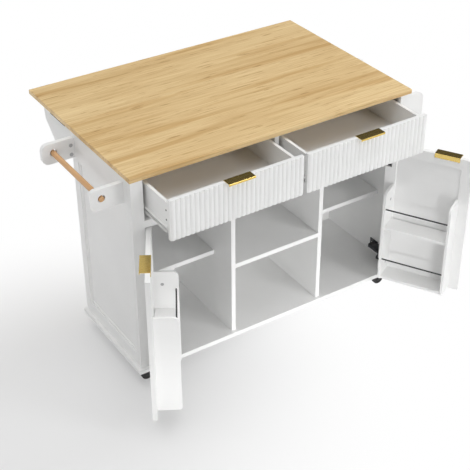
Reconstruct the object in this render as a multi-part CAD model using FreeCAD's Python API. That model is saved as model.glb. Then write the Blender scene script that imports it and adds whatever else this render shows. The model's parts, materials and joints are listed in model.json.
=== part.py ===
import FreeCAD, Part
import math
import os

os.makedirs("parts", exist_ok=True)
V = FreeCAD.Vector

# Folding kitchen island, millimetres, floor at zero height, middle of the cabinet at zero.
# X runs to the right along the worktop, Y to the back, Z up.
# Drawers and doors are built closed and then set to the half-open state they are shown in.

# Cabinet
overall_height = 920.0
cabinet_width = 1246.0
cabinet_depth = 456.0
caster_height = 66.0
base_thickness = 18.0
base_overhang = 15.0
board_thickness = 18.0
side_thickness = 18.0
back_thickness = 6.0
stile_width = 49.0
drawer_bay_height = 180.0
deck_lip_gap = 3.0
divider_spacing = 410.0
shelf_height = 318.0
side_shelf_setback = 127.0
support_length = 16.0
support_height = 10.0
support_margin = 40.0
overrun = 2.0
touch = 0.001

# Recess in the outer face of each side panel
recess_depth = 8.0
recess_bevel = 5.0
recess_step = 3.0
recess_ledge = 6.0
joint_groove = 2.0
side_front_frame = 12.0
side_rear_frame = 42.0
side_bottom_frame = 50.0
side_top_frame = 112.0

# Worktop and drop leaf
top_thickness = 18.0
top_overhang = 2.0
top_rear_overhang = 30.0
top_edge_radius = 2.0
seam_gap = 1.0
leaf_depth = 331.0

# Small butt hinges of the leaf and the flaps
knuckle_radius = 3.0
knuckle_drop = 3.4
hinge_pin_radius = 1.6
running_gap = 0.05
knuckle_gap = 0.3
hinge_plate = 1.5
hinge_reach = 30.0
leaf_hinge_length = 70.0
leaf_hinge_margin = 205.0
moving_knuckle_share = 0.34

# Folding flaps under the leaf
flap_thickness = 15.0
flap_inset = 20.0
flap_top_gap = 1.0
flap_front_gap = 3.0
flap_rear_reach = 248.0
flap_rear_low_reach = 240.0
flap_rear_depth = 72.0
flap_low_reach = 138.0
flap_low_depth = 166.0
flap_front_depth = 44.0
flap_corner_radius = 14.0
flap_hinge_length = 126.0
flap_hinge_start = 56.0
stop_height = 26.0
stop_flange = 14.0
stop_thickness = 2.5
stop_gap = 0.5

# Drawers
drawer_front_height = 160.0
drawer_front_thickness = 18.0
drawer_front_rise = 15.0
drawer_edge_gap = 11.0
drawer_seat_gap = 1.0
reed_count = 29
reed_depth = 4.0
reed_margin = 2.0
drawer_wall = 12.0
drawer_wall_height = 112.0
drawer_wall_drop = 18.0
drawer_box_depth = 400.0
drawer_bottom_thickness = 6.0
drawer_bottom_rise = 10.0
drawer_shown_travel = 168.0

# Drawer slides
slide_room = 13.0
slide_height = 24.0
slide_depth = 10.0
slide_sheet = 1.5
slide_gap = 0.5
runner_length = 380.0
channel_rear_gap = 20.0
channel_tab = 18.0

# Edge pulls
pull_sheet = 2.0
pull_reach = 20.0
pull_lip = 8.0
pull_leg = 16.0
drawer_pull_length = 110.0
door_pull_length = 103.0
door_pull_margin = 54.0

# Doors
door_thickness = 18.0
door_side_gap = 3.0
door_end_gap = 4.0
door_frame = 44.0
door_recess = 5.0
door_inner_frame = 45.0
door_outer_bevel = 8.0
door_inner_bevel = 2.0
door_shown_angle = 120.0

# Door hinges
pivot_inset = 16.0
hinge_low_distance = 44.0
hinge_high_distance = 98.0
arm_thickness = 5.0
arm_height = 14.0
arm_eye_radius = 4.5
arm_knee_out = 11.0
arm_knee_in = 25.0
arm_turn_out = 12.0
arm_turn_in = 36.0
door_pin_radius = 2.5
slot_height = 18.0
slot_reach = 11.0
slot_skin = 4.0
hinge_body_start = 30.0
hinge_body_length = 86.0
hinge_body_height = 20.0
hinge_body_depth = 34.0
hinge_body_bevel = 4.0
hinge_foot_start = 92.0
hinge_foot_length = 48.0
hinge_foot_height = 34.0
hinge_foot_sheet = 4.0

# Racks on the doors
rack_free_margin = 40.0
rack_hinged_margin = 33.0
rack_depth = 90.0
rack_bottom_gap = 12.0
rack_height = 419.0
rack_end_thickness = 10.0
rack_shelf_thickness = 12.0
rack_mid_shelf_rise = 255.0
rack_corner_radius = 25.0
rack_foot_radius = 10.0
rail_radius = 3.0
rail_inset = 10.0
rail_rise = 86.0
shelf_front_inset = 4.0

# Towel rail on the left side
bracket_length = 130.0
bracket_height = 82.0
bracket_thickness = 18.0
bracket_drop = 20.0
bracket_corner_radius = 26.0
bracket_front_setback = 52.0
bracket_rear_setback = 434.0
towel_rail_radius = 10.5
towel_rail_reach = 84.0
towel_rail_fit = 0.05
towel_rail_recess = 1.0
towel_hole_slack = 3.5
cam_radius = 7.5
cam_cap = 0.8
cam_inset = 14.0
cam_spacing = 38.0
cam_drop = 7.0

# Spice rack on the right side
spice_drop = 44.0
spice_height = 320.0
spice_depth = 116.0
spice_corner_radius = 30.0
spice_end_thickness = 15.0
spice_rear_setback = 432.0
spice_shelf_thickness = 12.0
spice_shelf_spacing = 155.0
spice_rail_rise = 46.0
spice_rail_inset = 14.0

# Casters
caster_plate = 48.0
caster_plate_thickness = 3.0
caster_side_inset = 53.0
caster_front_setback = 28.0
caster_rear_setback = 40.0
kingpin_radius = 5.0
kingpin_head_radius = 7.5
kingpin_head = 2.5
crown_length = 36.0
crown_thickness = 5.5
crown_gap = 0.5
wheel_radius = 25.0
wheel_width = 20.0
wheel_edge_radius = 4.0
wheel_hub_radius = 9.0
wheel_dish_radius = 17.0
wheel_dish_depth = 2.0
wheel_side_gap = 1.0
cheek_thickness = 2.5
cheek_eye = 8.0
cheek_round_share = 0.8
trail = 18.0
axle_radius = 4.0
axle_end = 1.0

# Levels and faces that follow from the sizes
base_top = caster_height + base_thickness
top_bottom = overall_height - top_thickness
deck_top = top_bottom - drawer_bay_height
deck_bottom = deck_top - board_thickness
shelf_top = base_top + shelf_height
front = -cabinet_depth / 2
back = cabinet_depth / 2
back_inside = back - back_thickness
side_out = cabinet_width / 2
side_in = side_out - side_thickness
stile_in = side_out - stile_width
stile_back = front + board_thickness
divider_in = divider_spacing / 2 - board_thickness / 2
divider_out = divider_in + board_thickness
seam = back + top_rear_overhang
top_side = side_out + top_overhang
leaf_front = seam + seam_gap / 2
leaf_rear = leaf_front + leaf_depth
hinge_level = top_bottom - knuckle_drop
knuckle_bore = hinge_pin_radius + running_gap

X = V(1, 0, 0)
Y = V(0, 1, 0)
Z = V(0, 0, 1)
ORIGIN = V(0, 0, 0)


def block(x0, x1, y0, y1, z0, z1):
    return Part.makeBox(x1 - x0, y1 - y0, z1 - z0, V(x0, y0, z0))


def mirrored(shape):
    return shape.mirror(ORIGIN, X)


def both(shape):
    return [shape, mirrored(shape)]


def joined(shapes):
    whole = shapes[0].fuse(shapes[1:])
    return whole.removeSplitter()


def save(name, solids):
    shape = solids[0] if len(solids) == 1 else Part.makeCompound(solids)
    shape.exportStep("parts/" + name + ".step")


def unit(vector):
    return vector * (1 / vector.Length)


def rounded_face(corners, place):
    """A flat face; each corner is (u, v, radius) and place turns u, v into a point."""
    spans = []
    for i, (u, v, radius) in enumerate(corners):
        before = corners[i - 1]
        after = corners[(i + 1) % len(corners)]
        here = V(u, v, 0)
        to_before = unit(V(before[0], before[1], 0) - here)
        to_after = unit(V(after[0], after[1], 0) - here)
        half_angle = to_before.getAngle(to_after) / 2
        reach = radius / math.tan(half_angle)
        inward = unit(to_before + to_after) if radius else ORIGIN
        middle = here + inward * (radius / math.sin(half_angle) - radius)
        spans.append((here + to_before * reach, middle, here + to_after * reach, radius))
    edges = []
    for i, (start, middle, end, radius) in enumerate(spans):
        if radius:
            points = [place(p.x, p.y) for p in (start, middle, end)]
            edges.append(Part.Arc(points[0], points[1], points[2]).toShape())
        following = spans[(i + 1) % len(spans)][0]
        if (following - end).Length > touch:
            edges.append(Part.makeLine(place(end.x, end.y), place(following.x, following.y)))
    return Part.Face(Part.Wire(edges))


def strip_corners(points, thickness):
    """Corners of a bent strip that follows the points with mitred bends."""
    left = []
    right = []
    for i, (u, v) in enumerate(points):
        here = V(u, v, 0)
        runs = []
        if i > 0:
            runs.append(unit(here - V(points[i - 1][0], points[i - 1][1], 0)))
        if i + 1 < len(points):
            runs.append(unit(V(points[i + 1][0], points[i + 1][1], 0) - here))
        along = unit(runs[0] + runs[-1])
        offset = V(-along.y, along.x, 0) * (thickness / 2 / along.dot(runs[0]))
        left.append(here + offset)
        right.append(here - offset)
    return [(p.x, p.y, 0) for p in left + right[::-1]]


def pocket(u0, u1, v0, v1, depth, bevel, place):
    """A shallow recess with sloped edges; place takes u, v and the depth below the face."""
    grow = bevel * overrun / depth
    wires = []
    for edge, level in ((-grow, -overrun), (bevel, depth)):
        corners = [(u0 + edge, v0 + edge), (u1 - edge, v0 + edge)]
        corners += [(u1 - edge, v1 - edge), (u0 + edge, v1 - edge), (u0 + edge, v0 + edge)]
        wires.append(Part.makePolygon([place(u, v, level) for u, v in corners]))
    return Part.makeLoft(wires, True, True)


def eased(board, plain_face):
    """Rounds the upper edges of a board, but not those on the plane y = plain_face."""
    level = board.BoundBox.ZMax
    edges = []
    for edge in board.Edges:
        ends = [vertex.Point for vertex in edge.Vertexes]
        on_top = all(abs(p.z - level) < touch for p in ends)
        on_plain = all(abs(p.y - plain_face) < touch for p in ends)
        if on_top and not on_plain:
            edges.append(edge)
    return board.makeFillet(top_edge_radius, edges)


# Cabinet boards
base_side = side_out + base_overhang
save("base_board", [block(-base_side, base_side, front - base_overhang, back, caster_height, base_top)])

side_panel = block(side_in, side_out, stile_back, back, base_top, top_bottom)
for ledge, depth, bevel in ((0, recess_step, 0), (recess_ledge, recess_depth, recess_bevel)):
    side_panel = side_panel.cut(pocket(
        stile_back + side_front_frame + ledge, back - side_rear_frame - ledge,
        base_top + side_bottom_frame + ledge, top_bottom - side_top_frame - ledge,
        depth, bevel, lambda u, v, w: V(side_out - w, u, v)))
side_panel = side_panel.cut(block(side_out - joint_groove, side_out + overrun,
                                  stile_back - overrun, stile_back + joint_groove,
                                  base_top - overrun, top_bottom + overrun))
save("right_side_panel", [side_panel])
save("left_side_panel", [mirrored(side_panel)])

save("back_panel", [block(-side_in, side_in, back_inside, back, base_top, top_bottom)])
save("front_stiles", both(block(stile_in, side_out, front, stile_back, base_top, top_bottom)))

deck_corners = [(-stile_in, front, 0), (stile_in, front, 0), (stile_in, stile_back, 0)]
deck_corners += [(side_in, stile_back, 0), (side_in, back_inside, 0), (-side_in, back_inside, 0)]
deck_corners += [(-side_in, stile_back, 0), (-stile_in, stile_back, 0)]
deck_face = rounded_face(deck_corners, lambda u, v: V(u, v, deck_bottom))
drawer_inner_face = front + drawer_front_thickness
post = board_thickness / 2
lip_top = deck_top + drawer_front_rise - deck_lip_gap
deck_lip = block(-stile_in, stile_in, front, drawer_inner_face, deck_top, lip_top)
save("drawer_deck", [deck_face.extrude(Z * board_thickness), deck_lip])

save("bay_dividers", both(block(divider_in, divider_out, front, back_inside, base_top, deck_bottom)))
save("drawer_divider", [block(-post, post, drawer_inner_face + drawer_seat_gap, back_inside,
                              deck_top, top_bottom)])

shelf_bottom = shelf_top - board_thickness
side_shelf_front = front + side_shelf_setback
save("centre_shelf", [block(-divider_in, divider_in, front, back_inside, shelf_bottom, shelf_top)])
save("side_shelves", both(block(divider_out, side_in, side_shelf_front, back_inside,
                                shelf_bottom, shelf_top)))

supports = []
for inner_x, outer_x, first_y in ((-divider_in, divider_in, front),
                                  (divider_out, side_in, side_shelf_front),
                                  (-side_in, -divider_out, side_shelf_front)):
    for y0 in (first_y + support_margin, back_inside - support_margin - support_length):
        for x0 in (inner_x, outer_x - support_height):
            supports.append(block(x0, x0 + support_height, y0, y0 + support_length,
                                  shelf_bottom - support_height, shelf_bottom))
save("shelf_supports", supports)

# Worktop and leaf
worktop_rear = seam - seam_gap / 2
worktop = block(-top_side, top_side, front - top_overhang, worktop_rear, top_bottom, overall_height)
save("worktop", [eased(worktop, worktop_rear)])
leaf = block(-top_side, top_side, leaf_front, leaf_rear, top_bottom, overall_height)
save("leaf_board", [eased(leaf, leaf_front)])


def hinge_halves(length, place, turn_axis, plate_push, moving_down):
    """Fixed and moving half of a butt hinge along t; s is the side step, h the height.

    place takes t, s and h; the fixed plate lies at s below zero under the flat face and the
    moving plate either lies at s above zero or hangs down against the moving board.
    """
    half = length / 2
    mid = half * moving_knuckle_share
    shelf_h = knuckle_drop - hinge_plate

    def plate(t0, t1, s0, s1, h0, h1):
        face = rounded_face([(t0, s0, 0), (t1, s0, 0), (t1, s1, 0), (t0, s1, 0)],
                            lambda t, s: place(t, s, h0))
        return face.extrude(plate_push * (h1 - h0))

    def tube(t0, t1, radius):
        return Part.makeCylinder(radius, t1 - t0, place(t0, 0, 0), turn_axis)

    clear = knuckle_drop + knuckle_gap
    fixed = [plate(-half, half, -hinge_reach, -clear, shelf_h, knuckle_drop)]
    fixed.append(tube(-half, half, hinge_pin_radius))
    for t0, t1 in ((-half, -mid), (mid, half)):
        fixed.append(plate(t0, t1, -clear, 0, shelf_h, knuckle_drop))
        fixed.append(tube(t0, t1, knuckle_radius))
    inner = mid - knuckle_gap
    sleeve = tube(-inner, inner, knuckle_radius).cut(tube(-half, half, knuckle_bore))
    if moving_down:
        moving = [plate(-half, half, shelf_h, knuckle_drop, -hinge_reach, -clear)]
        moving.append(plate(-inner, inner, shelf_h, knuckle_drop, -clear, 0))
    else:
        moving = [plate(-half, half, clear, hinge_reach, shelf_h, knuckle_drop)]
        moving.append(plate(-inner, inner, 0, clear, shelf_h, knuckle_drop))
    moving = joined(moving + [sleeve]).cut(tube(-half, half, knuckle_bore))
    return joined(fixed), moving


leaf_hinge_fixed = []
leaf_hinge_moving = []
leaf_hinge_spacing = top_side - leaf_hinge_margin
for hinge_x in (-leaf_hinge_spacing, 0, leaf_hinge_spacing):
    fixed, moving = hinge_halves(leaf_hinge_length,
                                 lambda t, s, h: V(hinge_x + t, seam + s, hinge_level + h),
                                 X, Z, False)
    leaf_hinge_fixed.append(fixed)
    leaf_hinge_moving.append(moving)
save("leaf_hinge_fixed_plates", leaf_hinge_fixed)
save("leaf_hinge_moving_plates", leaf_hinge_moving)

# Flaps that fold under the leaf, the right one as built and the left one mirrored
flap_outer_face = top_side - flap_inset
flap_inner_face = flap_outer_face - flap_thickness
flap_axis_x = flap_inner_face - knuckle_drop
flap_hinge_mid = seam + flap_hinge_start + flap_hinge_length / 2
flap_top = top_bottom - flap_top_gap
flap_corners = [(seam + flap_front_gap, flap_top, 0)]
flap_corners += [(seam + flap_rear_reach, flap_top, flap_corner_radius / 2)]
flap_corners += [(seam + flap_rear_low_reach, top_bottom - flap_rear_depth, flap_corner_radius)]
flap_corners += [(seam + flap_low_reach, top_bottom - flap_low_depth, flap_corner_radius)]
flap_corners += [(seam + flap_front_gap, top_bottom - flap_front_depth, flap_corner_radius)]
flap = rounded_face(flap_corners, lambda u, v: V(flap_inner_face, u, v)).extrude(X * flap_thickness)
save("right_flap", [flap])
save("left_flap", [mirrored(flap)])

flap_fixed, flap_moving = hinge_halves(
    flap_hinge_length,
    lambda t, s, h: V(flap_axis_x + s, flap_hinge_mid + t, hinge_level + h),
    Y, Z, True)
save("right_flap_hinge_plate", [flap_moving])
save("left_flap_hinge_plate", [mirrored(flap_moving)])

stop_inner = flap_outer_face + stop_gap
stop_start = flap_hinge_mid - flap_hinge_length / 2
stop_end = flap_hinge_mid + flap_hinge_length / 2
stop = joined([
    block(stop_inner, stop_inner + stop_thickness, stop_start, stop_end,
          top_bottom - stop_height, top_bottom),
    block(stop_inner, stop_inner + stop_flange, stop_start, stop_end,
          top_bottom - stop_thickness, top_bottom)])
save("flap_hinge_fixed_plates", both(flap_fixed))
save("flap_stops", both(stop))

# Towel rail on the left
bracket_end = -side_out - bracket_length
bracket_top = top_bottom - bracket_drop
bracket_bottom = bracket_top - bracket_height
rail_x = -side_out - towel_rail_reach
rail_z = bracket_top - bracket_height / 2
bracket_fronts = (front + bracket_front_setback, front + bracket_rear_setback)
rail_start = bracket_fronts[0] + towel_rail_recess
rail_end = bracket_fronts[1] + bracket_thickness - towel_rail_recess
hole_radius = towel_rail_radius + towel_hole_slack
hole_z = rail_z + towel_hole_slack - towel_rail_fit
brackets = []
for y0 in bracket_fronts:
    bracket = rounded_face([(-side_out, bracket_top, 0), (bracket_end, bracket_top, bracket_corner_radius),
                            (bracket_end, bracket_bottom, bracket_corner_radius),
                            (-side_out, bracket_bottom, 0)],
                           lambda u, v: V(u, y0, v)).extrude(Y * bracket_thickness)
    bore = Part.makeCylinder(hole_radius, bracket_thickness + overrun,
                             V(rail_x, y0 - overrun / 2, hole_z), Y)
    brackets.append(bracket.cut(bore))
save("towel_brackets", brackets)
rail = Part.makeCylinder(towel_rail_radius, rail_end - rail_start, V(rail_x, rail_start, rail_z), Y)
save("towel_rail", [rail])
cams = []
cam_z = rail_z - cam_drop
for y0 in (bracket_fronts[0] + bracket_thickness, bracket_fronts[1] - cam_cap):
    for dz in (-cam_spacing / 2, cam_spacing / 2):
        cams.append(Part.makeCylinder(cam_radius, cam_cap, V(-side_out - cam_inset, y0, cam_z + dz), Y))
save("towel_bracket_cams", cams)

# Spice rack on the right
spice_top = top_bottom - spice_drop
spice_bottom = spice_top - spice_height
spice_out = side_out + spice_depth
spice_fronts = (front + bracket_front_setback, front + spice_rear_setback)
spice_corners = [(side_out, spice_bottom, 0), (spice_out, spice_bottom, spice_corner_radius)]
spice_corners += [(spice_out, spice_top, spice_corner_radius), (side_out, spice_top, 0)]
spice_ends = []
for y0 in spice_fronts:
    end_face = rounded_face(spice_corners, lambda u, v: V(u, y0, v))
    spice_ends.append(end_face.extrude(Y * spice_end_thickness))
save("spice_rack_ends", spice_ends)
spice_y0 = spice_fronts[0] + spice_end_thickness
spice_y1 = spice_fronts[1]
spice_shelves = []
spice_rails = []
for shelf_z in (spice_bottom, spice_bottom + spice_shelf_spacing):
    shelf_upper = shelf_z + spice_shelf_thickness
    shelf_out = spice_out - spice_corner_radius if shelf_z == spice_bottom else spice_out - shelf_front_inset
    spice_shelves.append(block(side_out, shelf_out, spice_y0, spice_y1, shelf_z, shelf_upper))
    rail_foot = V(spice_out - spice_rail_inset, spice_y0, shelf_upper + spice_rail_rise)
    spice_rails.append(Part.makeCylinder(rail_radius, spice_y1 - spice_y0, rail_foot, Y))
save("spice_rack_shelves", spice_shelves)
save("spice_rack_rails", spice_rails)

# Drawer, the right one, built closed
opening_in = post
box_in = opening_in + slide_room
box_out = stile_in - slide_room
front_in = post
front_out = stile_in - drawer_edge_gap
drawer_front_bottom = deck_top + drawer_front_rise
drawer_front_top = drawer_front_bottom + drawer_front_height
drawer_wall_top = drawer_front_top - drawer_wall_drop
drawer_wall_bottom = drawer_wall_top - drawer_wall_height
box_rear = drawer_inner_face + drawer_box_depth
reed_pitch = (front_out - front_in - reed_margin - reed_margin) / reed_count
reed_root = front + reed_depth


def edge_pull(x0, length, outer_face, inner_face, level):
    """Bent sheet over the upper edge of a front, with a leg inside and a lip outside."""
    top = level + pull_sheet
    lip_face = outer_face - pull_reach
    leg_face = inner_face + pull_sheet
    corners = [(lip_face, top - pull_lip, 0), (lip_face, top, pull_sheet), (leg_face, top, pull_sheet)]
    corners += [(leg_face, level - pull_leg, 0), (inner_face, level - pull_leg, 0), (inner_face, level, 0)]
    corners += [(lip_face + pull_sheet, level, 0), (lip_face + pull_sheet, top - pull_lip, 0)]
    return rounded_face(corners, lambda u, v: V(x0, u, v)).extrude(X * length)


def reeded_front():
    z = drawer_front_bottom
    points = [V(front_in + reed_margin, reed_root, z), V(front_in, reed_root, z)]
    points += [V(front_in, drawer_inner_face, z), V(front_out, drawer_inner_face, z)]
    points += [V(front_out, reed_root, z), V(front_out - reed_margin, reed_root, z)]
    edges = [Part.makeLine(a, b) for a, b in zip(points, points[1:])]
    for i in range(reed_count):
        x1 = front_out - reed_margin - i * reed_pitch
        x0 = x1 - reed_pitch
        crest = V(x1 - reed_pitch / 2, front, z)
        edges.append(Part.Arc(V(x1, reed_root, z), crest, V(x0, reed_root, z)).toShape())
    wire = Part.Wire(Part.__sortEdges__(edges))
    return Part.Face(wire).extrude(Z * drawer_front_height)


def c_profile(x_web, x_lips, y0, y1, z0, z1, sheet):
    """Sheet channel with its web at x_web and its lips reaching to x_lips."""
    step = sheet if x_lips > x_web else -sheet
    outside = block(min(x_web, x_lips), max(x_web, x_lips), y0, y1, z0, z1)
    lo = min(x_web + step, x_lips + step)
    hi = max(x_web + step, x_lips + step)
    return outside.cut(block(lo, hi, y0 - overrun, y1 + overrun, z0 + sheet, z1 - sheet))


channel_bottom = drawer_wall_bottom
channel_top = channel_bottom + slide_height
channel_rear = back_inside - channel_rear_gap
runner_bottom = channel_bottom + slide_sheet + slide_gap
runner_top = channel_top - slide_sheet - slide_gap
runner_reach = slide_sheet + slide_gap
channels = []
runners = []
channel_seat = drawer_inner_face + drawer_seat_gap
for fixed_x, wall_x, step, start in ((opening_in, box_in, runner_reach, channel_seat),
                                     (stile_in, box_out, -runner_reach, stile_back)):
    lips = fixed_x + math.copysign(slide_depth, step)
    channel = c_profile(fixed_x, lips, start, channel_rear, channel_bottom, channel_top, slide_sheet)
    if fixed_x == stile_in:
        channel = joined([channel, block(stile_in - slide_sheet, stile_in + channel_tab, stile_back,
                                         stile_back + slide_sheet, channel_bottom, channel_top),
                          block(stile_in - slide_sheet, stile_in + channel_tab, channel_rear - slide_sheet,
                                channel_rear, channel_bottom, channel_top)])
        spacer = block(stile_in, side_in, channel_rear, back_inside, channel_bottom, channel_top)
        channel = joined([channel, spacer])
    channels.append(channel)
    runners.append(c_profile(wall_x, fixed_x + step, drawer_inner_face, drawer_inner_face + runner_length,
                             runner_bottom, runner_top, slide_sheet))
save("drawer_slide_channels", [shape for channel in channels for shape in both(channel)])

walls = []
for x0, x1, y0 in ((box_in, box_in + drawer_wall, drawer_inner_face),
                   (box_out - drawer_wall, box_out, drawer_inner_face),
                   (box_in + drawer_wall, box_out - drawer_wall, box_rear - drawer_wall)):
    walls.append(block(x0, x1, y0, box_rear, drawer_wall_bottom, drawer_wall_top))
floor_z = drawer_wall_bottom + drawer_bottom_rise
floor = block(box_in + drawer_wall, box_out - drawer_wall, drawer_inner_face, box_rear - drawer_wall,
              floor_z, floor_z + drawer_bottom_thickness)
drawer_mid = (front_in + front_out) / 2
drawer = {
    "drawer_front": [reeded_front()],
    "drawer_walls": walls,
    "drawer_bottom": [floor],
    "drawer_runners": runners,
    "drawer_pull": [edge_pull(drawer_mid - drawer_pull_length / 2, drawer_pull_length,
                              front, drawer_inner_face, drawer_front_top)],
}
pulled = V(0, -drawer_shown_travel, 0)
for name, solids in drawer.items():
    shown = [solid.translated(pulled) for solid in solids]
    save("right_" + name, shown)
    save("left_" + name, [mirrored(solid) for solid in shown])

# Door, the right one, built closed
door_free = divider_out + door_side_gap
door_hinged = stile_in - door_side_gap
door_bottom = base_top + door_end_gap
door_top = deck_bottom - door_end_gap
door_inner = front + door_thickness
pivot = V(door_hinged - pivot_inset, front + door_thickness / 2, 0)
panel = block(door_free, door_hinged, front, door_inner, door_bottom, door_top)
panel = panel.cut(pocket(door_free + door_frame, door_hinged - door_frame,
                         door_bottom + door_frame, door_top - door_frame,
                         door_recess, door_outer_bevel, lambda u, v, w: V(u, front + w, v)))
panel = panel.cut(pocket(door_free + door_inner_frame, door_hinged - door_inner_frame,
                         door_bottom + door_inner_frame, door_top - door_inner_frame,
                         door_recess, door_inner_bevel, lambda u, v, w: V(u, door_inner - w, v)))
pins = []
arms = []
arm_path = [(0, 0), (-arm_knee_out, arm_knee_in), (arm_turn_out, arm_turn_in)]
arm_path.append((side_in - pivot.x, arm_turn_in))
body_face = side_in - hinge_body_depth
body_y0 = pivot.y + hinge_body_start
foot_y0 = pivot.y + hinge_foot_start
for height in (door_bottom + hinge_low_distance, door_top - hinge_high_distance):
    slot_low = height - slot_height / 2
    panel = panel.cut(block(pivot.x - slot_reach, door_hinged + overrun, front + slot_skin,
                            door_inner + overrun, slot_low, slot_low + slot_height))
    pins.append(Part.makeCylinder(door_pin_radius, slot_height, V(pivot.x, pivot.y, slot_low), Z))
    arm_low = height - arm_height / 2
    strip = rounded_face(strip_corners(arm_path, arm_thickness),
                         lambda u, v: V(pivot.x + u, pivot.y + v, arm_low)).extrude(Z * arm_height)
    eye = Part.makeCylinder(arm_eye_radius, arm_height, V(pivot.x, pivot.y, arm_low), Z)
    bore = Part.makeCylinder(door_pin_radius + running_gap, arm_height + overrun,
                             V(pivot.x, pivot.y, arm_low - overrun / 2), Z)
    body_low = height - hinge_body_height / 2
    body_top = height + hinge_body_height / 2
    bevel_x = body_face + hinge_body_bevel
    body_corners = [(side_in, body_low, 0), (side_in, body_top, 0)]
    body_corners += [(bevel_x, body_top, 0), (body_face, body_top - hinge_body_bevel, 0)]
    body_corners += [(body_face, body_low + hinge_body_bevel, 0), (bevel_x, body_low, 0)]
    body = rounded_face(body_corners, lambda u, v: V(u, body_y0, v)).extrude(Y * hinge_body_length)
    foot = block(side_in - hinge_foot_sheet, side_in, foot_y0, foot_y0 + hinge_foot_length,
                 height - hinge_foot_height / 2, height + hinge_foot_height / 2)
    arms.append(joined([strip, eye, body, foot]).cut(bore))
save("door_hinge_arms", [shape for arm in arms for shape in both(arm)])

# Rack on the inside of the door
rack_x0 = door_free + rack_free_margin
rack_x1 = door_hinged - rack_hinged_margin
rack_bottom = door_bottom + rack_bottom_gap
rack_top = rack_bottom + rack_height
rack_front = door_inner + rack_depth
end_corners = [(door_inner, rack_bottom, 0), (rack_front, rack_bottom, rack_foot_radius)]
end_corners += [(rack_front, rack_top, rack_corner_radius), (door_inner, rack_top, 0)]
rack_ends = []
for x0 in (rack_x0, rack_x1 - rack_end_thickness):
    rack_ends.append(rounded_face(end_corners, lambda u, v: V(x0, u, v)).extrude(X * rack_end_thickness))
shelf_x0 = rack_x0 + rack_end_thickness
shelf_x1 = rack_x1 - rack_end_thickness
shelf_rear = rack_front - rack_foot_radius
rack_shelves = []
rack_rails = []
for rise in (0, rack_mid_shelf_rise - rack_shelf_thickness):
    low = rack_bottom + rise
    rack_shelves.append(block(shelf_x0, shelf_x1, door_inner, shelf_rear, low, low + rack_shelf_thickness))
    rack_rails.append(Part.makeCylinder(rail_radius, shelf_x1 - shelf_x0,
                                        V(shelf_x0, rack_front - rail_inset,
                                          low + rack_shelf_thickness + rail_rise), X))
door_pull_x = door_free + door_pull_margin
door = {
    "door_panel": [panel],
    "door_hinge_pins": pins,
    "door_pull": [edge_pull(door_pull_x, door_pull_length, front, door_inner, door_top)],
    "door_rack_ends": rack_ends,
    "door_rack_shelves": rack_shelves,
    "door_rack_rails": rack_rails,
}
for name, solids in door.items():
    shown = [solid.rotated(pivot, Z, door_shown_angle) for solid in solids]
    save("right_" + name, shown)
    save("left_" + name, [mirrored(solid) for solid in shown])

# Casters, wheels trailing to the left
plate_bottom = caster_height - caster_plate_thickness
crown_top = plate_bottom - crown_gap
crown_bottom = crown_top - crown_thickness
head_top = crown_bottom - crown_gap
cheek_inner = wheel_width / 2 + wheel_side_gap
cheek_outer = cheek_inner + cheek_thickness


def caster():
    half_plate = caster_plate / 2
    plate = block(-half_plate, half_plate, -half_plate, half_plate, plate_bottom, caster_height)
    stem = Part.makeCylinder(kingpin_radius, plate_bottom - head_top, V(0, 0, head_top), Z)
    head = Part.makeCylinder(kingpin_head_radius, kingpin_head, V(0, 0, head_top - kingpin_head), Z)
    half_crown = crown_length / 2
    crown = block(-half_crown, half_crown, -cheek_outer, cheek_outer, crown_bottom, crown_top)
    round_off = cheek_eye * cheek_round_share
    corners = [(half_crown, crown_bottom, 0), (half_crown, crown_top, 0), (-half_crown, crown_top, 0)]
    corners += [(-half_crown, crown_bottom, 0), (-trail - cheek_eye, wheel_radius, 0)]
    eye_bottom = wheel_radius - cheek_eye
    corners += [(-trail - cheek_eye, eye_bottom, round_off)]
    corners += [(-trail + cheek_eye, eye_bottom, round_off), (-trail + cheek_eye, wheel_radius, 0)]
    pieces = [crown]
    for y0 in (cheek_inner, -cheek_outer):
        pieces.append(rounded_face(corners, lambda u, v: V(u, y0, v)).extrude(Y * cheek_thickness))
    fork = joined(pieces)
    fork = fork.cut(Part.makeCylinder(kingpin_radius + running_gap, crown_thickness + overrun,
                                      V(0, 0, crown_bottom - overrun / 2), Z))
    axle_half = cheek_outer + axle_end
    hub = V(-trail, -axle_half, wheel_radius)
    bore = Part.makeCylinder(axle_radius + running_gap, axle_half + axle_half, hub, Y)
    axle = Part.makeCylinder(axle_radius, axle_half + axle_half, hub, Y)
    wheel = Part.makeCylinder(wheel_radius, wheel_width, V(-trail, -wheel_width / 2, wheel_radius), Y)
    rims = [edge for edge in wheel.Edges if len(edge.Vertexes) == 1]
    wheel = wheel.makeFillet(wheel_edge_radius, rims)
    for y0 in (-wheel_width / 2 - overrun, wheel_width / 2 - wheel_dish_depth):
        start = V(-trail, y0, wheel_radius)
        dish = Part.makeCylinder(wheel_dish_radius, wheel_dish_depth + overrun, start, Y)
        hub_core = Part.makeCylinder(wheel_hub_radius, wheel_dish_depth + overrun, start, Y)
        wheel = wheel.cut(dish.cut(hub_core))
    return joined([plate, stem, head]), fork.cut(bore), axle, wheel.cut(bore)


caster_rows = (("front", front + caster_front_setback), ("rear", back - caster_rear_setback))
caster_x = side_out - caster_side_inset
caster_columns = (("left", -caster_x), ("right", caster_x))
plates = []
for row, y in caster_rows:
    for column, x in caster_columns:
        plate, fork, axle, wheel = [shape.translated(V(x, y, 0)) for shape in caster()]
        plates.append(plate)
        save("caster_fork_" + row + "_" + column, [fork, axle])
        save("caster_wheel_" + row + "_" + column, [wheel])
save("caster_plates", plates)
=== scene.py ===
import json
import math

import bmesh
import bpy
from mathutils import Matrix, Vector


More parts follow.
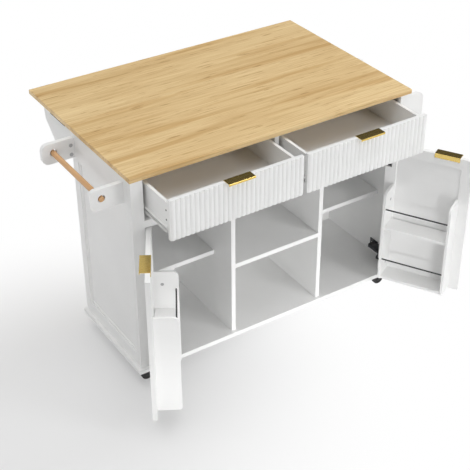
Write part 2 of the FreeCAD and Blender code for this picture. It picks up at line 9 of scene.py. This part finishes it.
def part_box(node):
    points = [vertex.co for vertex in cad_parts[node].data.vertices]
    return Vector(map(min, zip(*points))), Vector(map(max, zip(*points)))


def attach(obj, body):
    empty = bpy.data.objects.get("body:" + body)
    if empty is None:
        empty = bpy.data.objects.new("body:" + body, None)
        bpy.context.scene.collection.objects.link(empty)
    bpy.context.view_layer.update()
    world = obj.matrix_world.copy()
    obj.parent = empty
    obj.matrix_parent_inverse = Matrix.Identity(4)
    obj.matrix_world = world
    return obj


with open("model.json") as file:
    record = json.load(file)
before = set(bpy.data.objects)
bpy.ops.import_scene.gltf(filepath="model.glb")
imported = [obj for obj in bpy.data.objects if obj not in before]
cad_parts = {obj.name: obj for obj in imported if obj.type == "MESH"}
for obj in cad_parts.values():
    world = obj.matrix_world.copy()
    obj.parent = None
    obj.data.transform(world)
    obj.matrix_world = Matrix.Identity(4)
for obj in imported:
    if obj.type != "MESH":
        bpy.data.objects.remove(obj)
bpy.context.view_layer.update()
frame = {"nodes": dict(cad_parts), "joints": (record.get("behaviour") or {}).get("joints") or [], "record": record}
nodes = frame["nodes"]
record = frame["record"]
joints = {joint["name"]: joint for joint in frame["joints"]}

# Camera, standing where the photograph was taken from
CAMERA_PLACE = Vector((-2.0765, -3.1392, 2.8514))
CAMERA_AZIMUTH = math.radians(32.84)
CAMERA_ELEVATION = math.radians(33.74)
CAMERA_ROLL = math.radians(-0.25)
CAMERA_LENS = 85.04
CAMERA_SENSOR = 36.0

# Sky: dim in the middle, bright overhead and along the horizon, most of all in front
SKY_BASE = 0.08
SKY_TOP_GAIN = 3.4
SKY_TOP_POWER = 8.0
SKY_BAND_START = 0.08
SKY_BAND_END = 0.25
SKY_BAND_LEVEL = 0.92
SKY_FRONT = Vector((-0.15, -0.99, 0.0)).normalized()
SKY_FRONT_GAIN = 0.8
SKY_FRONT_POWER = 4.0

# Lamps: place, aim, width and height in metres, power in watts and beam in degrees
LAMPS = {
    "side": ((4.4, -0.75, 2.2), (0.0, 0.0, 0.4), (1.8, 1.0), 38.0, 180.0),
    "left": ((-3.4, 1.4, 1.7), (-0.3, 0.0, 0.4), (1.2, 1.0), 9.0, 180.0),
    "front": ((1.6, -3.4, 2.7), (0.1, -0.2, 0.8), (1.2, 1.2), 37.0, 180.0),
    "strip": ((-0.6, -2.55, 0.36), (0.1, 0.0, 0.02), (1.2, 0.25), 1.6, 36.0),
}

# Floor: its glow is weakest around one spot, painted shade that darkens the floor there on top of its real shadow,
# and further out it turns to white
FLOOR_HALF = 30.0
FLOOR_COLOUR = (0.72, 0.72, 0.72, 1)
FLOOR_ROUGHNESS = 0.9
FLOOR_PAINTED_SHADE_SPOT = Vector((-1.0, -0.25, 0.0))
FLOOR_GLOW_NEAR = 0.29
FLOOR_GLOW_FAR = 1.0
FLOOR_NEAR_RADIUS = 0.35
FLOOR_FAR_RADIUS = 1.3

# Edges and shading of the pieces
BOARD_BEVEL = 0.0012
METAL_BEVEL = 0.0004
BEVEL_SEGMENTS = 2
BEVEL_ANGLE = math.radians(50)
SMOOTH_ANGLE = math.radians(35)

# Patterns of the finishes
MOTTLE_DARK_END = 0.3
MOTTLE_LIGHT_START = 0.7
BUMP_DISTANCE = 0.0005
BAND_SCALES = (0.9, 8.0)
BAND_DETAIL = 4.0
BAND_DISTORTION = 0.6
LAYER_DETAIL = 3.0

# Small fittings, flat round heads
CAP_SEGMENTS = 24
CAP_TOP_SHARE = 0.8
CAP_HEIGHT = 0.0008
DRAWER_SCREW_RADIUS = 0.0034
DRAWER_SCREW_SETBACK = 0.014
DRAWER_SCREW_SHARES = (0.29, 0.63)
DOOR_ANGLE = math.radians(120)
RACK_CAP_RADIUS = 0.0065
RACK_CAP_REACH = 0.030
RACK_CAP_DROP = 0.055
HINGE_SCREW_RADIUS = 0.0036
HINGE_SCREW_INSET = 0.012
HINGE_FOOT_SHEET = 0.004
HINGE_FOOT_HALF = 0.017
NAIL_RADIUS = 0.0030
NAIL_HEIGHT = 0.0004
NAIL_MARGIN = 0.009
NAIL_SPACING = 0.14


def new_paint(name, roughness):
    """A new material, with its node tree and its shader."""
    made = bpy.data.materials.new(name)
    made.use_nodes = True
    tree = made.node_tree
    shader = tree.nodes["Principled BSDF"]
    shader.inputs["Roughness"].default_value = roughness
    return made, tree, shader


def pattern(tree, stretch, scale, detail, stops):
    """Noise stretched along the object's axes and its colours, given as two stops of place and colour."""
    place = tree.nodes.new("ShaderNodeTexCoord")
    mapping = tree.nodes.new("ShaderNodeMapping")
    mapping.inputs["Scale"].default_value = stretch
    noise = tree.nodes.new("ShaderNodeTexNoise")
    noise.inputs["Scale"].default_value = scale
    noise.inputs["Detail"].default_value = detail
    ramp = tree.nodes.new("ShaderNodeValToRGB")
    for element, (position, colour) in zip(ramp.color_ramp.elements, stops):
        element.position = position
        element.color = (*colour, 1)
    tree.links.new(place.outputs["Object"], mapping.inputs["Vector"])
    tree.links.new(mapping.outputs["Vector"], noise.inputs["Vector"])
    tree.links.new(noise.outputs["Fac"], ramp.inputs["Fac"])
    return noise, ramp.outputs["Color"]


def finish(name, dark, light, roughness, metallic=0.0, scale=6.0, detail=3.0,
           stretch=(1, 1, 1), bump=0.0):
    """A painted, plastic or metal finish with a faint mottle."""
    made, tree, shader = new_paint(name, roughness)
    shader.inputs["Metallic"].default_value = metallic
    stops = ((MOTTLE_DARK_END, dark), (MOTTLE_LIGHT_START, light))
    noise, colour = pattern(tree, stretch, scale, detail, stops)
    tree.links.new(colour, shader.inputs["Base Color"])
    if bump:
        lift = tree.nodes.new("ShaderNodeBump")
        lift.inputs["Strength"].default_value = bump
        lift.inputs["Distance"].default_value = BUMP_DISTANCE
        tree.links.new(noise.outputs["Fac"], lift.inputs["Height"])
        tree.links.new(lift.outputs["Normal"], shader.inputs["Normal"])
    return made


def grained(name, dark, light, layers, along, roughness):
    """Wood with broad bands and finer darker layers; along scales the grain's axes.

    Each layer is (scale along the grain, scale across it, tone, start, end) and darkens the bands.
    """
    made, tree, shader = new_paint(name, roughness)
    stops = ((MOTTLE_DARK_END, dark), (MOTTLE_LIGHT_START, light))
    bands, colour = pattern(tree, along(BAND_SCALES), 1.0, BAND_DETAIL, stops)
    bands.inputs["Distortion"].default_value = BAND_DISTORTION
    for long_scale, cross_scale, tone, start, end in layers:
        stops = ((start, tone), (end, (1, 1, 1)))
        _, shade = pattern(tree, along((long_scale, cross_scale)), 1.0, LAYER_DETAIL, stops)
        mix = tree.nodes.new("ShaderNodeMix")
        mix.data_type = "RGBA"
        mix.blend_type = "MULTIPLY"
        mix.inputs["Factor"].default_value = 1.0
        tree.links.new(colour, mix.inputs["A"])
        tree.links.new(shade, mix.inputs["B"])
        colour = mix.outputs["Result"]
    tree.links.new(colour, shader.inputs["Base Color"])
    return made


def along_x(scales):
    return (scales[0], scales[1], scales[1])


def along_y(scales):
    return (scales[1], scales[0], scales[1])


OAK_LAYERS = ((1.2, 26, (0.84, 0.75, 0.62), 0.32, 0.47), (10, 140, (0.66, 0.53, 0.38), 0.29, 0.39),
              (4, 300, (0.84, 0.77, 0.68), 0.36, 0.60))
DOWEL_LAYERS = ((4, 160, (0.86, 0.80, 0.72), 0.32, 0.52),)
materials = {
    "white_lacquer": finish("white_lacquer", (0.90, 0.90, 0.893), (0.93, 0.93, 0.924), roughness=0.38),
    "oak_board": grained("oak_board", (0.76, 0.54, 0.26), (0.92, 0.71, 0.39), OAK_LAYERS, along_x,
                         roughness=0.45),
    "pale_dowel": grained("pale_dowel", (0.64, 0.37, 0.17), (0.76, 0.47, 0.24), DOWEL_LAYERS, along_y,
                          roughness=0.5),
    "gold_metal": finish("gold_metal", (0.72, 0.52, 0.16), (0.83, 0.63, 0.22), roughness=0.2, metallic=1.0,
                         scale=40, detail=4, stretch=(1, 8, 8)),
    "black_metal": finish("black_metal", (0.018, 0.018, 0.02), (0.035, 0.035, 0.038), roughness=0.4,
                          scale=60),
    "steel": finish("steel", (0.42, 0.42, 0.43), (0.56, 0.56, 0.57), roughness=0.3, metallic=1.0,
                    scale=50, detail=4, stretch=(8, 1, 1)),
    "dark_steel": finish("dark_steel", (0.06, 0.06, 0.063), (0.11, 0.11, 0.115), roughness=0.35, metallic=1.0,
                         scale=60, detail=4, stretch=(1, 1, 6)),
    "white_metal": finish("white_metal", (0.83, 0.83, 0.82), (0.87, 0.87, 0.86), roughness=0.3, scale=30),
    "caster_frame": finish("caster_frame", (0.02, 0.02, 0.02), (0.035, 0.035, 0.035), roughness=0.35,
                           scale=60),
    "caster_wheel": finish("caster_wheel", (0.016, 0.016, 0.016), (0.03, 0.03, 0.03), roughness=0.6,
                           scale=80, detail=5, bump=0.2),
}
BOARD_SLOTS = ("white_lacquer", "oak_board")


def dress_nodes():
    """Gives each node its finish, smooth round faces and slightly broken edges."""
    for subpart in record["subparts"]:
        node = nodes[subpart["node"]]
        slot = subpart["material_slot"]
        node.data.materials.clear()
        node.data.materials.append(materials[slot])
        for polygon in node.data.polygons:
            polygon.use_smooth = True
            polygon.material_index = 0
        node.data.set_sharp_from_angle(angle=SMOOTH_ANGLE)
        bevel = node.modifiers.new("broken_edges", "BEVEL")
        bevel.width = BOARD_BEVEL if slot in BOARD_SLOTS else METAL_BEVEL
        bevel.segments = BEVEL_SEGMENTS
        bevel.limit_method = "ANGLE"
        bevel.angle_limit = BEVEL_ANGLE
        bevel.harden_normals = True


def caps(name, spots, radius, height, slot, body):
    """Low round heads on faces; each spot is a point on the face and the face's normal."""
    mesh = bmesh.new()
    for point, normal in spots:
        turn = Vector(normal).to_track_quat("Z", "Y").to_matrix().to_4x4()
        place = Matrix.Translation(Vector(point) + Vector(normal).normalized() * height / 2) @ turn
        bmesh.ops.create_cone(mesh, cap_ends=True, segments=CAP_SEGMENTS, radius1=radius,
                              radius2=radius * CAP_TOP_SHARE, depth=height, matrix=place)
    data = bpy.data.meshes.new(name)
    mesh.to_mesh(data)
    mesh.free()
    piece = bpy.data.objects.new(name, data)
    bpy.context.scene.collection.objects.link(piece)
    data.materials.append(materials[slot])
    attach(piece, body)


def drawer_screws(side):
    """Screw heads on the outer faces of the drawer's walls, near the front."""
    low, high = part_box(side + "_drawer_walls")
    y = low.y + DRAWER_SCREW_SETBACK
    spots = []
    for share in DRAWER_SCREW_SHARES:
        z = high.z - (high.z - low.z) * share
        spots.append(((low.x, y, z), (-1, 0, 0)))
        spots.append(((high.x, y, z), (1, 0, 0)))
    caps(side + "_drawer_screws", spots, DRAWER_SCREW_RADIUS, CAP_HEIGHT, "black_metal", side + "_drawer")


def closed_box(node, swing):
    """Corners of a door's node in the place it has when the door is shut."""
    shut = swing.inverted()
    points = [shut @ (node.matrix_world @ vertex.co) for vertex in node.data.vertices]
    low = Vector([min(point[i] for point in points) for i in range(3)])
    high = Vector([max(point[i] for point in points) for i in range(3)])
    return low, high


def rack_caps(side):
    """Cover caps on the inner faces of the rack's end panels."""
    hinge = Vector(joints[side + "_door_hinge"]["pos_m"])
    angle = DOOR_ANGLE if side == "right" else -DOOR_ANGLE
    swing = Matrix.Translation(hinge) @ Matrix.Rotation(angle, 4, "Z") @ Matrix.Translation(-hinge)
    turn = swing.to_3x3()
    low, high = closed_box(nodes[side + "_door_rack_ends"], swing)
    shelf_low, shelf_high = closed_box(nodes[side + "_door_rack_shelves"], swing)
    spots = []
    for x, facing in ((shelf_low.x, 1), (shelf_high.x, -1)):
        for z in (high.z - RACK_CAP_DROP, low.z + RACK_CAP_DROP):
            point = swing @ Vector((x, low.y + RACK_CAP_REACH, z))
            spots.append((point, turn @ Vector((facing, 0, 0))))
    caps(side + "_rack_caps", spots, RACK_CAP_RADIUS, CAP_HEIGHT, "steel", side + "_door")


def hinge_screws():
    """Screw heads on the feet of the door hinges."""
    low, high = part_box("door_hinge_arms")
    face = high.x - HINGE_FOOT_SHEET
    spots = []
    for facing in (-1, 1):
        for z in (low.z + HINGE_FOOT_HALF, high.z - HINGE_FOOT_HALF):
            spots.append(((face * facing, high.y - HINGE_SCREW_INSET, z), (-facing, 0, 0)))
    caps("door_hinge_screws", spots, HINGE_SCREW_RADIUS, CAP_HEIGHT, "steel", "cabinet")


def back_nails():
    """Nail heads along the sides and the middle of the back panel."""
    low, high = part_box("back_panel")
    count = round((high.z - low.z) / NAIL_SPACING)
    spots = []
    for x in (low.x + NAIL_MARGIN, 0.0, high.x - NAIL_MARGIN):
        for i in range(count + 1):
            z = low.z + NAIL_MARGIN + (high.z - low.z - 2 * NAIL_MARGIN) * i / count
            spots.append(((x, high.y, z), (0, 1, 0)))
    caps("back_panel_nails", spots, NAIL_RADIUS, NAIL_HEIGHT, "steel", "cabinet")


def math_node(tree, operation, first, second):
    """A two-value sum, product or the like; each value is an output or a number."""
    node = tree.nodes.new("ShaderNodeMath")
    node.operation = operation
    for slot, value in enumerate((first, second)):
        if isinstance(value, float):
            node.inputs[slot].default_value = value
        else:
            tree.links.new(value, node.inputs[slot])
    return node.outputs[0]


def eased(tree, value, source, result):
    """Carries a value smoothly from one span to another."""
    node = tree.nodes.new("ShaderNodeMapRange")
    node.interpolation_type = "SMOOTHSTEP"
    node.inputs["From Min"].default_value = source[0]
    node.inputs["From Max"].default_value = source[1]
    node.inputs["To Min"].default_value = result[0]
    node.inputs["To Max"].default_value = result[1]
    tree.links.new(value, node.inputs["Value"])
    return node.outputs["Result"]


def shown(tree):
    """One for rays that come straight from the eye, or by way of metal or glass, else nought."""
    path = tree.nodes.new("ShaderNodeLightPath")
    mirrored = math_node(tree, "MAXIMUM", path.outputs["Is Glossy Ray"], path.outputs["Is Transmission Ray"])
    return math_node(tree, "MAXIMUM", path.outputs["Is Camera Ray"], mirrored)


def floor():
    """Pale floor that stays near white to the eye, keeps the shadow and has painted shade around one spot."""
    mesh = bpy.data.meshes.new("floor")
    corners = [(-FLOOR_HALF, -FLOOR_HALF, 0), (FLOOR_HALF, -FLOOR_HALF, 0),
               (FLOOR_HALF, FLOOR_HALF, 0), (-FLOOR_HALF, FLOOR_HALF, 0)]
    mesh.from_pydata(corners, [], [(0, 1, 2, 3)])
    plane = bpy.data.objects.new("floor", mesh)
    bpy.context.scene.collection.objects.link(plane)
    paint, tree, shader = new_paint("floor_paint", FLOOR_ROUGHNESS)
    shader.inputs["Base Color"].default_value = FLOOR_COLOUR
    glow = tree.nodes.new("ShaderNodeEmission")
    glow.inputs["Strength"].default_value = 1.0
    place = tree.nodes.new("ShaderNodeTexCoord")
    radius = tree.nodes.new("ShaderNodeVectorMath")
    radius.operation = "DISTANCE"
    radius.inputs[1].default_value = FLOOR_PAINTED_SHADE_SPOT
    tree.links.new(place.outputs["Object"], radius.inputs[0])
    # Painted shade: less glow near the spot, so the floor looks darker there under any light
    near_far = eased(tree, radius.outputs["Value"], (FLOOR_NEAR_RADIUS, FLOOR_FAR_RADIUS),
                     (FLOOR_GLOW_NEAR, FLOOR_GLOW_FAR))
    mix = tree.nodes.new("ShaderNodeMixShader")
    output = tree.nodes["Material Output"]
    tree.links.new(math_node(tree, "MULTIPLY", shown(tree), near_far), mix.inputs["Fac"])
    tree.links.new(shader.outputs["BSDF"], mix.inputs[1])
    tree.links.new(glow.outputs["Emission"], mix.inputs[2])
    tree.links.new(mix.outputs["Shader"], output.inputs["Surface"])
    mesh.materials.append(paint)


def sky():
    """Soft surround: a bright horizon that also makes a white backdrop, a dim middle and a bright top."""
    world = bpy.data.worlds.new("studio")
    bpy.context.scene.world = world
    world.use_nodes = True
    tree = world.node_tree
    place = tree.nodes.new("ShaderNodeTexCoord")
    apart = tree.nodes.new("ShaderNodeSeparateXYZ")
    tree.links.new(place.outputs["Generated"], apart.inputs["Vector"])
    facing = tree.nodes.new("ShaderNodeVectorMath")
    facing.operation = "DOT_PRODUCT"
    facing.inputs[1].default_value = SKY_FRONT
    tree.links.new(place.outputs["Generated"], facing.inputs[0])
    height = math_node(tree, "MAXIMUM", apart.outputs["Z"], 0.0)
    above = math_node(tree, "MULTIPLY", math_node(tree, "POWER", height, SKY_TOP_POWER), SKY_TOP_GAIN)
    ahead = math_node(tree, "MAXIMUM", facing.outputs["Value"], 0.0)
    front = math_node(tree, "MULTIPLY", math_node(tree, "POWER", ahead, SKY_FRONT_POWER), SKY_FRONT_GAIN)
    horizon = math_node(tree, "ADD", front, SKY_BAND_LEVEL)
    band = eased(tree, height, (SKY_BAND_START, SKY_BAND_END), (1.0, 0.0))
    overhead = math_node(tree, "ADD", above, SKY_BASE)
    level = math_node(tree, "ADD", overhead, math_node(tree, "MULTIPLY", band, horizon))
    background = tree.nodes["Background"]
    background.inputs["Color"].default_value = (1, 1, 1, 1)
    tree.links.new(level, background.inputs["Strength"])


def lamps():
    """Oblong soft lamps."""
    for name, (place, aim, size, power, beam) in LAMPS.items():
        light = bpy.data.lights.new(name, "AREA")
        light.shape = "RECTANGLE"
        light.size, light.size_y = size
        light.energy = power
        light.spread = math.radians(beam)
        holder = bpy.data.objects.new(name, light)
        holder.location = place
        holder.rotation_euler = (Vector(aim) - Vector(place)).to_track_quat("-Z", "Y").to_euler()
        holder.visible_camera = False
        bpy.context.scene.collection.objects.link(holder)


def camera():
    """Eye of the picture."""
    lens = bpy.data.cameras.new("camera")
    lens.lens = CAMERA_LENS
    lens.sensor_width = CAMERA_SENSOR
    eye = bpy.data.objects.new("camera", lens)
    level = math.cos(CAMERA_ELEVATION)
    forward = Vector((math.sin(CAMERA_AZIMUTH) * level, math.cos(CAMERA_AZIMUTH) * level,
                      -math.sin(CAMERA_ELEVATION)))
    turn = forward.to_track_quat("-Z", "Y").to_matrix() @ Matrix.Rotation(CAMERA_ROLL, 3, "Z")
    eye.matrix_world = Matrix.Translation(CAMERA_PLACE) @ turn.to_4x4()
    bpy.context.scene.collection.objects.link(eye)
    bpy.context.scene.camera = eye


dress_nodes()
for side in ("left", "right"):
    drawer_screws(side)
    rack_caps(side)
hinge_screws()
back_nails()
floor()
sky()
lamps()
camera()
bpy.context.scene.view_settings.view_transform = "Standard"
